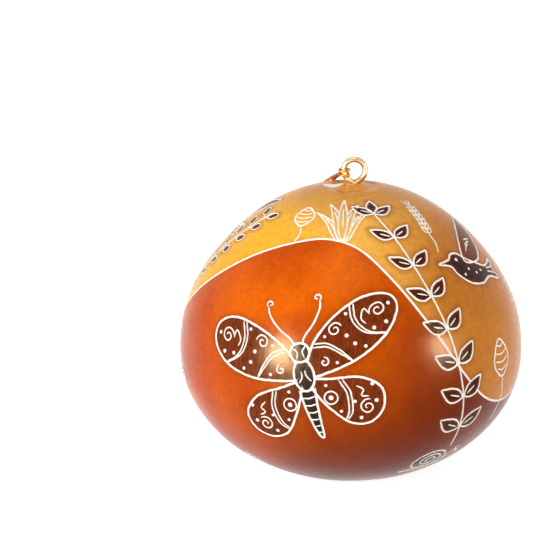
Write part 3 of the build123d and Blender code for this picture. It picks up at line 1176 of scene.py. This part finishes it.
# How far a spot of the crown lies inside one of its patches, from 0 at the edge to 1.
def patchShare(name, x, y):
    middleX, middleY, reachX, reachY = wallEnds[name]
    return max(0.0, 1 - ((x - middleX) / reachX) ** 2 - ((y - middleY) / reachY) ** 2)


def crownZ(r):
    return float(np.interp(-r, -wallR[upper], wallZ[upper]))


def crownHeight(x, y):
    return crownZ(math.hypot(x, y)) + crownRelief(x, y)


def footHeight(x, y):
    return float(np.interp(math.hypot(x, y), wallR[~upper], wallZ[~upper]))


def ceilingZ(r):
    return float(np.interp(-r, -insideR[insideUpper], insideZ[insideUpper]))


# Adds a ring of points, each as high as heightAt says, and the faces that join it on.
def growWall(vertices, faces, ring, aside, radius, heightAt, downward=False):
    first, count = len(vertices), len(ring)
    for k in range(count):
        angle = 2 * math.pi * k / count - math.pi
        x, y = aside + radius * math.sin(angle), -radius * math.cos(angle)
        vertices.append(Vector((x, y, heightAt(x, y))))
    added = list(range(first, first + count))
    low, high = (added, ring) if downward else (ring, added)
    for k in range(count):
        after = (k + 1) % count
        faces.append((low[k], low[after], high[after], high[k]))
    return added


# Joins the chart's right edge to its left one, and says which triangles that leaves whole.
def joinSeam(chart, triangles):
    onLeft, onRight = (np.nonzero(np.abs(chart[:, 0] - edge) < 0.01)[0]
                       for edge in (-chartEdge, chartEdge))
    joined = np.arange(len(chart))
    for index in onRight:
        joined[index] = onLeft[int(np.argmin(np.abs(chart[onLeft, 1] - chart[index, 1])))]
    triangles = joined[triangles]
    a, b, c = triangles.T
    whole = (a != b) & (b != c) & (a != c)
    return [tuple(int(k) for k in face) for face in triangles[whole]], whole


def rimRing(chart, height):
    members = np.nonzero(np.abs(chart[:, 1] - height) < 0.005)[0]
    x = chart[members, 0]
    members = members[(x > -chartEdge - 0.01) & (x < chartEdge - 0.01)]
    return [int(k) for k in members[np.argsort(chart[members, 0])]]


def closeWall(skin):
    vertices = [Vector(point) for point in skin["points"]]
    faces, whole = joinSeam(skin["chart"], skin["triangles"])
    counts = {"skin": len(faces)}
    aside, bore = wallEnds["boreAside"], wallEnds["boreRadius"]
    foot, ring = (rimRing(skin["chart"], rim) for rim in rims)
    for step in range(1, wallEnds["crownRings"] + 1):
        t = step / wallEnds["crownRings"]
        radius = carving["topRadius"] * mm * (1 - t) + bore * t
        ring = growWall(vertices, faces, ring, aside * t, radius, crownHeight)
    for step in range(1, wallEnds["footRings"] + 1):
        radius = carving["footRadius"] * mm * (1 - step / (wallEnds["footRings"] + 0.7))
        foot = growWall(vertices, faces, foot, 0, radius, footHeight, downward=True)
    faces.append(tuple(reversed(foot)))
    counts["outside"] = len(faces)
    top, drop = crownZ(aside), ceilingZ(aside) - crownZ(aside)
    for step in range(1, wallEnds["boreRings"]):
        height = top + drop * step / wallEnds["boreRings"]
        ring = growWall(vertices, faces, ring, aside, bore, lambda x, y: height)
    ring = growWall(vertices, faces, ring, aside, bore, lambda x, y: ceilingZ(math.hypot(x, y)))
    inward = np.concatenate([[0], np.cumsum(np.hypot(np.diff(insideR), np.diff(insideZ)))])
    atTop, atFoot = wallEnds["insideEnds"]
    for number, stop in enumerate(np.linspace(inward[-1] - atTop, atFoot, wallEnds["insideRings"])):
        radius, height = (float(np.interp(stop, inward, row)) for row in (insideR, insideZ))
        drift = aside * max(0.0, 1 - number / 3) * 0.4
        ring = growWall(vertices, faces, ring, drift, radius, lambda x, y: height)
    faces.append(tuple(ring))
    return vertices, faces, whole, counts


# Values that the skin's finish reads: marks on the faces, and patches on the points, one of them a
# painted highlight.
def markMesh(mesh, skin, vertices, faces, whole, counts):
    rows = {}
    for name, values in skin["marks"].items():
        rows[name] = np.zeros(len(faces), np.float32)
        rows[name][:counts["skin"]] = values[whole]
    for k in range(counts["skin"], counts["outside"]):
        if vertices[faces[k][0]].z < bellyHeight:
            rows["hillDye"][k] = 1
    rows["scorch"] = np.zeros(len(vertices), np.float32)
    rows["scorch"][:len(skin["scorch"])] = skin["scorch"]
    # painted highlight: a white crescent on the lip beside the stem scar
    rows["paintedGlint"] = np.zeros(len(vertices), np.float32)
    for index in range(len(skin["scorch"]), len(vertices)):
        x, y, z = vertices[index]
        if z > bellyHeight + wallEnds["patchesFrom"]:
            # the darker patch right of the eye rides on the scorch values
            rows["scorch"][index] = wallEnds["darkPatchDepth"] * patchShare("darkPatch", x, y)
            rows["paintedGlint"][index] = patchShare("glintPatch", x, y)
    for name, row in rows.items():
        domain = "POINT" if name in ("scorch", "paintedGlint") else "FACE"
        mesh.attributes.new(name, "FLOAT", domain).data.foreach_set("value", row)
    inside = np.arange(len(faces)) >= counts["outside"]
    mesh.polygons.foreach_set("material_index", inside.astype(np.int32))


def cleanMesh(mesh):
    work = bmesh.new()
    work.from_mesh(mesh)
    bmesh.ops.dissolve_degenerate(work, dist=1e-7, edges=work.edges)
    bmesh.ops.delete(work, geom=[v for v in work.verts if not v.link_faces], context="VERTS")
    print("open or crowded edges:", sum(len(edge.link_faces) != 2 for edge in work.edges))
    work.to_mesh(mesh)
    work.free()
    mesh.set_sharp_from_angle(angle=math.radians(wallEnds["sharp"]))


def buildGourd():
    skin = buildSkin()
    vertices, faces, whole, counts = closeWall(skin)
    mesh = meshFrom("carvedGourd", vertices, faces)
    markMesh(mesh, skin, vertices, faces, whole, counts)
    cleanMesh(mesh)
    return addPiece(mesh, "gourd", "gourd_shell")


gourd = buildGourd()
print("gourd carved and closed,", len(gourd.data.polygons), "faces")


# Colours are written as they look on a screen, from 0 to 255.
def paint(red, green, blue):
    screen = [channel / 255 for channel in (red, green, blue)]
    return tuple(c / 12.92 if c <= 0.04045 else ((c + 0.055) / 1.055) ** 2.4 for c in screen) + (1,)


# Links a socket to another node's, or sets its own value.
def feed(tree, socket, value):
    if isinstance(value, bpy.types.NodeSocket):
        tree.links.new(value, socket)
    else:
        socket.default_value = value


def addNode(tree, kind, inputs=(), **settings):
    node = tree.nodes.new(kind)
    for name, value in settings.items():
        setattr(node, name, value)
    for name, value in dict(inputs).items():
        feed(tree, node.inputs[name], value)
    return node


def blendColours(tree, amount, first, second):
    inputs = {0: amount, 6: first, 7: second}
    return addNode(tree, "ShaderNodeMix", inputs, data_type="RGBA").outputs[2]


def spread(tree, value, low, high, toLow=0.0, toHigh=1.0):
    inputs = {"Value": value, "From Min": low, "From Max": high, "To Min": toLow, "To Max": toHigh}
    return addNode(tree, "ShaderNodeMapRange", inputs).outputs[0]


def arith(tree, how, first, second):
    return addNode(tree, "ShaderNodeMath", {0: first, 1: second}, operation=how).outputs[0]


def objectPlace(tree):
    return addNode(tree, "ShaderNodeTexCoord").outputs["Object"]


def startGroup(name, inputs, outputs):
    tree = bpy.data.node_groups.new(name, "ShaderNodeTree")
    for label, kind, value in inputs:
        socket = tree.interface.new_socket(label, in_out="INPUT", socket_type=kind)
        socket.default_value = value
    for label, kind in outputs:
        tree.interface.new_socket(label, in_out="OUTPUT", socket_type=kind)
    return tree, tree.nodes.new("NodeGroupInput").outputs, tree.nodes.new("NodeGroupOutput").inputs


# Cloudy dye: a light and a dark colour in soft patches with a fine mottle over them.
def makeDyeCloud():
    tree, given, result = startGroup("dyeCloud", [
        ("Light", "NodeSocketColor", (1, 1, 1, 1)), ("Dark", "NodeSocketColor", (0, 0, 0, 1)),
        ("Scale", "NodeSocketFloat", 60.0), ("Mottle", "NodeSocketFloat", 0.3)],
        [("Color", "NodeSocketColor"), ("Mask", "NodeSocketFloat")])
    place = objectPlace(tree)
    patches = addNode(tree, "ShaderNodeTexNoise", {
        "Vector": place, "Scale": given["Scale"], "Detail": 3.0, "Roughness": 0.55})
    fineScale = arith(tree, "MULTIPLY", given["Scale"], 14.0)
    specks = addNode(tree, "ShaderNodeTexNoise", {
        "Vector": place, "Scale": fineScale, "Detail": 5.0, "Roughness": 0.7})
    broad = spread(tree, patches.outputs[0], 0.34, 0.66)
    speckle = arith(tree, "SUBTRACT", specks.outputs[0], 0.5)
    small = arith(tree, "MULTIPLY", speckle, given["Mottle"])
    mask = addNode(tree, "ShaderNodeClamp", {"Value": arith(tree, "ADD", broad, small)}).outputs[0]
    tree.links.new(mask, result["Mask"])
    tree.links.new(blendColours(tree, mask, given["Dark"], given["Light"]), result["Color"])
    return tree


# Fine fibres that run round the piece, as a mask from 0 to 1.
def makeFibre():
    tree, given, result = startGroup("fibre", [
        ("Scale", "NodeSocketFloat", 900.0), ("Stretch", "NodeSocketFloat", 0.2)],
        [("Mask", "NodeSocketFloat")])
    squeeze = addNode(tree, "ShaderNodeCombineXYZ", {
        "X": given["Stretch"], "Y": given["Stretch"], "Z": 1.0})
    scaled = addNode(tree, "ShaderNodeVectorMath", {0: objectPlace(tree), 1: squeeze.outputs[0]},
                     operation="MULTIPLY")
    hairs = addNode(tree, "ShaderNodeTexNoise", {
        "Vector": scaled.outputs[0], "Scale": given["Scale"], "Detail": 4.0, "Roughness": 0.65})
    tree.links.new(spread(tree, hairs.outputs[0], 0.3, 0.7), result["Mask"])
    return tree


dyeCloud = makeDyeCloud()
fibre = makeFibre()


def startMaterial(name):
    material = bpy.data.materials.new(name)
    material.use_nodes = True
    tree = material.node_tree
    return material, tree, tree.nodes["Principled BSDF"]


def cloudOf(tree, light, dark, scale, mottle):
    inputs = {"Light": light, "Dark": dark, "Scale": scale, "Mottle": mottle}
    return addNode(tree, "ShaderNodeGroup", inputs, node_tree=dyeCloud).outputs["Color"]


def fibresOf(tree, scale, stretch):
    inputs = {"Scale": scale, "Stretch": stretch}
    return addNode(tree, "ShaderNodeGroup", inputs, node_tree=fibre).outputs["Mask"]


def attribute(tree, name):
    return addNode(tree, "ShaderNodeAttribute", attribute_name=name).outputs["Fac"]


def bumpFrom(tree, shader, height, distance, strength):
    bump = addNode(tree, "ShaderNodeBump", {
        "Height": height, "Distance": distance, "Strength": strength})
    tree.links.new(bump.outputs[0], shader.inputs["Normal"])


# Dyed, scorched and varnished skin of the gourd, with painted shade on the hill and the sky and a
# painted highlight on the crown.
# A cloud of dye is its light and its dark colour, the scale of its patches and the strength of its
# mottle.
skinFinish = {
    "gold": (paint(255, 192, 52), paint(250, 176, 34), 45.0, 0.9),
    "peach": paint(254, 192, 92),
    "peachShare": 0.8,
    "paling": (-16 * mm, -1 * mm),     # from gold on the left to peach in the middle
    "tan": (paint(207, 128, 42), paint(194, 116, 36), 60.0, 0.9),
    "tanAndShade": (0, 19 * mm),           # and on to tan on the right, part dye tone and part painted shade
    "crown": paint(208, 134, 44),
    "crownRise": (31 * mm, 36 * mm),   # above the belly
    # painted light and shade: the hill's dye as lit and as shaded, blended by height and towards the
    # far left
    "hillLit": (paint(225, 98, 0), paint(200, 74, 0), 85.0, 1.1),
    "hillShaded": (paint(120, 33, 0), paint(84, 18, 0), 60.0, 1.1),
    "hillShadeSlope": (18.0, 0.0, -26.0),   # painted shade: the hill darkens that way, per metre
    "hillFade": (-1.34, -0.12),
    "hillFlankShade": (-26 * mm, -37 * mm),      # and again to the far left, also painted shade
    "flankShare": 0.45,
    "brown": paint(132, 52, 12),
    "brownDeep": paint(72, 24, 8),
    "deep": paint(40, 12, 4),
    "deepGlow": paint(128, 48, 8),
    "black": paint(26, 20, 18),
    "blackSoft": paint(48, 38, 34),
    "cut": paint(252, 249, 244),
    "cutShade": paint(236, 228, 216),
    "glintFrom": (0.10, 0.30),          # where the painted highlight on the lip turns white
    "scorchedEdge": paint(122, 46, 6),
    "edgeShare": 0.65,
    "streak": paint(96, 36, 4),
    "streakShare": 0.26,
    "streaks": (900.0, 1.0),           # scale and stretch of fibres
    "grain": (420.0, 4.0),
    "roughness": (0.20, 0.29),
    "cutRoughness": 0.75,
    "gloss": 0.12,
    "varnish": paint(255, 210, 154),   # tint of the shine
    "bump": (0.03 * mm, 0.10),
}


# Golden sky, which turns to tan near the stem and on the right, where the tan is part dye tone and
# part painted shade.
def skyColour(tree, place):
    look = skinFinish
    axes = addNode(tree, "ShaderNodeSeparateXYZ", {"Vector": place}).outputs
    peach = arith(tree, "MULTIPLY", spread(tree, axes["X"], *look["paling"]), look["peachShare"])
    sky = blendColours(tree, peach, cloudOf(tree, *look["gold"]), look["peach"])
    # painted shade: part of the darker tan on the right
    tanAndShade = spread(tree, axes["X"], *look["tanAndShade"])
    sky = blendColours(tree, tanAndShade, sky, cloudOf(tree, *look["tan"]))
    low, high = (bellyHeight + rise for rise in look["crownRise"])
    return blendColours(tree, spread(tree, axes["Z"], low, high), sky, look["crown"])


# Red hill, with painted shade: it darkens downwards and to the far left.
def hillColour(tree, place):
    look = skinFinish
    axes = addNode(tree, "ShaderNodeSeparateXYZ", {"Vector": place}).outputs
    slope = addNode(tree, "ShaderNodeVectorMath", {0: place, 1: look["hillShadeSlope"]},
                    operation="DOT_PRODUCT")
    fade = spread(tree, slope.outputs["Value"], *look["hillFade"])
    flank = arith(tree, "MULTIPLY", spread(tree, axes["X"], *look["hillFlankShade"]), look["flankShare"])
    bright, dark = cloudOf(tree, *look["hillLit"]), cloudOf(tree, *look["hillShaded"])
    return blendColours(tree, arith(tree, "MAXIMUM", fade, flank), bright, dark)


# Scorching over the dye: the edges of the cuts, then the brown, deep and black fields.
def scorchedColour(tree, colour, grain):
    look = skinFinish
    edge = attribute(tree, "scorch")
    share = arith(tree, "MULTIPLY", edge, look["edgeShare"])
    colour = blendColours(tree, share, colour, look["scorchedEdge"])
    brown = blendColours(tree, grain, look["brownDeep"], look["brown"])
    colour = blendColours(tree, attribute(tree, "burntBrown"), colour, brown)
    glow = arith(tree, "MULTIPLY", edge, grain)
    deep = blendColours(tree, glow, look["deep"], look["deepGlow"])
    colour = blendColours(tree, attribute(tree, "burntDeep"), colour, deep)
    black = blendColours(tree, grain, look["black"], look["blackSoft"])
    return blendColours(tree, attribute(tree, "burntBlack"), colour, black)


def finishSkin():
    material, tree, shader = startMaterial("gourdSkin")
    look = skinFinish
    place = objectPlace(tree)
    sky, hill = skyColour(tree, place), hillColour(tree, place)
    # the dyed sky and hill, with their painted shade
    dyedAndShaded = blendColours(tree, attribute(tree, "hillDye"), sky, hill)
    streaks = arith(tree, "MULTIPLY", fibresOf(tree, *look["streaks"]), look["streakShare"])
    grain = fibresOf(tree, *look["grain"])
    colour = scorchedColour(tree, blendColours(tree, streaks, dyedAndShaded, look["streak"]), grain)
    # painted highlight: the patch on the crown's lip comes out white and matt like the cuts
    glintPatch = spread(tree, attribute(tree, "paintedGlint"), *look["glintFrom"])
    whiteMask = arith(tree, "MAXIMUM", attribute(tree, "cutLine"), glintPatch)
    white = blendColours(tree, grain, look["cutShade"], look["cut"])
    tree.links.new(blendColours(tree, whiteMask, colour, white), shader.inputs["Base Color"])
    varnished = spread(tree, grain, 0, 1, *look["roughness"])
    rough = addNode(tree, "ShaderNodeMix", {0: whiteMask, 2: varnished, 3: look["cutRoughness"]},
                    data_type="FLOAT")
    tree.links.new(rough.outputs[0], shader.inputs["Roughness"])
    shader.inputs["Specular IOR Level"].default_value = look["gloss"]
    shader.inputs["Specular Tint"].default_value = look["varnish"]
    bumpFrom(tree, shader, grain, *look["bump"])
    return material


# The other finishes: a cloud of colour, fibres by scale and stretch, their bump by depth and
# strength, the roughness that the fibres vary between, if any, and what is the same all over.
insideFinish = {                  # dry, unfinished wall inside
    "cloud": (paint(206, 178, 132), paint(168, 136, 92), 120.0, 0.8),
    "fibres": (700.0, 0.5),
    "bump": (0.2 * mm, 0.6),
    "allOver": {"Roughness": 0.9},
}
seedFinish = {                    # dry husk of the seeds
    "cloud": (paint(198, 166, 112), paint(140, 104, 60), 300.0, 0.7),
    "fibres": (2200.0, 0.25),
    "bump": (0.05 * mm, 0.5),
    "allOver": {"Roughness": 0.65},
}
wireFinish = {                    # gilded wire of the screw eye, darker where seen aslant by a painted dark reflection
    "cloud": (paint(240, 222, 184), paint(204, 174, 124), 420.0, 0.4),
    "fibres": (2500.0, 0.4),
    "bump": (0.01 * mm, 0.2),
    "rough": (0.08, 0.18),
    # painted reflection: the dark edge tint stands in for darker surroundings mirrored at the wire's
    # rims
    "allOver": {"Metallic": 1.0, "Specular Tint": paint(120, 80, 38)},
}
foilFinish = {                    # foil-wrapped thread of the loop
    "cloud": (paint(226, 146, 40), paint(128, 54, 10), 1600.0, 0.8),
    "fibres": (6000.0, 0.6),
    "bump": (0.03 * mm, 0.7),
    "rough": (0.26, 0.48),
    "allOver": {"Metallic": 0.85},
}


def finishFrom(name, look):
    material, tree, shader = startMaterial(name)
    fibres = fibresOf(tree, *look["fibres"])
    tree.links.new(cloudOf(tree, *look["cloud"]), shader.inputs["Base Color"])
    if "rough" in look:
        tree.links.new(spread(tree, fibres, 0, 1, *look["rough"]), shader.inputs["Roughness"])
    for socket, value in look["allOver"].items():
        shader.inputs[socket].default_value = value
    bumpFrom(tree, shader, fibres, *look["bump"])
    return material


# A solid's own slots take the finish, and its mesh stays as it is.
def assign(node, material):
    if not node.material_slots:
        node.data.materials.append(material)
    for slot in node.material_slots:
        slot.link = "OBJECT"
        slot.material = material


foilThread = finishFrom("foilThread", foilFinish)
gourd.data.materials.append(finishSkin())
gourd.data.materials.append(finishFrom("gourdInside", insideFinish))
for piece in (leftStrand, rightStrand, threadHitch, endKnot, threadTails):
    piece.data.materials.append(foilThread)
giltWire = finishFrom("giltWire", wireFinish)
assign(nodes["screw_eye"], giltWire)
eyeRingEnd.data.materials.append(giltWire)
assign(nodes["dried_seeds"], finishFrom("seedHusk", seedFinish))
print("finishes on")

# Pale floor, soft lamps and a white surround.
studio = {
    "floorWidth": 8.0,
    "floorDrop": 0.05 * mm,
    "floorColour": 0.80,
    "floorRoughness": 0.9,
    "floorGlow": 0.80,            # what the camera sees on top of the floor's own light
    "surround": 0.46,             # light from all round, on the object
    # Turn from the front, elevation, distance, width, height, watts, and watts more that
    # the lamp gives to reflections alone.
    "lamps": [
        (-46, 10, 0.95, 0.26, 0.38, 6.0, 38.0),
        (62, 10, 0.95, 0.22, 0.30, 2.8, 14.0),
        (-12, 74, 1.0, 0.60, 0.60, 1.8, 0.0),
    ],
}


def hangLamp(name, turn, elevation, distance, width, height, watts):
    data = bpy.data.lights.new(name, "AREA")
    data.shape = "ELLIPSE"
    data.size = width
    data.size_y = height
    data.energy = watts
    lamp = bpy.data.objects.new(name, data)
    scene.collection.objects.link(lamp)
    rise, side = math.radians(elevation), math.radians(turn)
    outward = math.cos(rise)
    way = Vector((math.sin(side) * outward, -math.cos(side) * outward, math.sin(rise)))
    lamp.location = Vector((0, 0, bellyHeight)) + way * distance
    lamp.rotation_euler = way.to_track_quat("Z", "Y").to_euler()
    return lamp


# 1 where the camera looks on directly, in a mirror or through glass, and 0 for other light.
def seenByCamera(tree):
    rays = addNode(tree, "ShaderNodeLightPath").outputs
    seen = arith(tree, "MAXIMUM", rays["Is Camera Ray"], rays["Is Glossy Ray"])
    return arith(tree, "MAXIMUM", seen, rays["Is Transmission Ray"])


def layFloor():
    half = studio["floorWidth"] / 2
    corners = [(-half, -half, 0), (half, -half, 0), (half, half, 0), (-half, half, 0)]
    floor = addObject("floor", meshFrom("floor", corners, [(0, 1, 2, 3)]))
    floor.location.z = -studio["floorDrop"]
    material, tree, shader = startMaterial("studioPaper")
    shader.inputs["Base Color"].default_value = (studio["floorColour"],) * 3 + (1,)
    shader.inputs["Roughness"].default_value = studio["floorRoughness"]
    strength = arith(tree, "MULTIPLY", seenByCamera(tree), studio["floorGlow"])
    glow = addNode(tree, "ShaderNodeEmission", {"Strength": strength})
    both = addNode(tree, "ShaderNodeAddShader")
    tree.links.new(shader.outputs[0], both.inputs[0])
    tree.links.new(glow.outputs[0], both.inputs[1])
    tree.links.new(both.outputs[0], tree.nodes["Material Output"].inputs["Surface"])
    floor.data.materials.append(material)


def surroundWithWhite():
    world = bpy.data.worlds.new("surround")
    scene.world = world
    world.use_nodes = True
    tree = world.node_tree
    level = spread(tree, seenByCamera(tree), 0, 1, studio["surround"], 1.0)
    tree.links.new(level, tree.nodes["Background"].inputs["Strength"])
    tree.nodes["Background"].inputs["Color"].default_value = (1, 1, 1, 1)


def buildStudio():
    layFloor()
    surroundWithWhite()
    for number, (*place, watts, shine) in enumerate(studio["lamps"], 1):
        hangLamp("softBox" + str(number), *place, watts)
        if shine:
            hangLamp("shineBox" + str(number), *place, shine).visible_diffuse = False
    scene.view_settings.view_transform = "Standard"


buildStudio()
print("studio set")
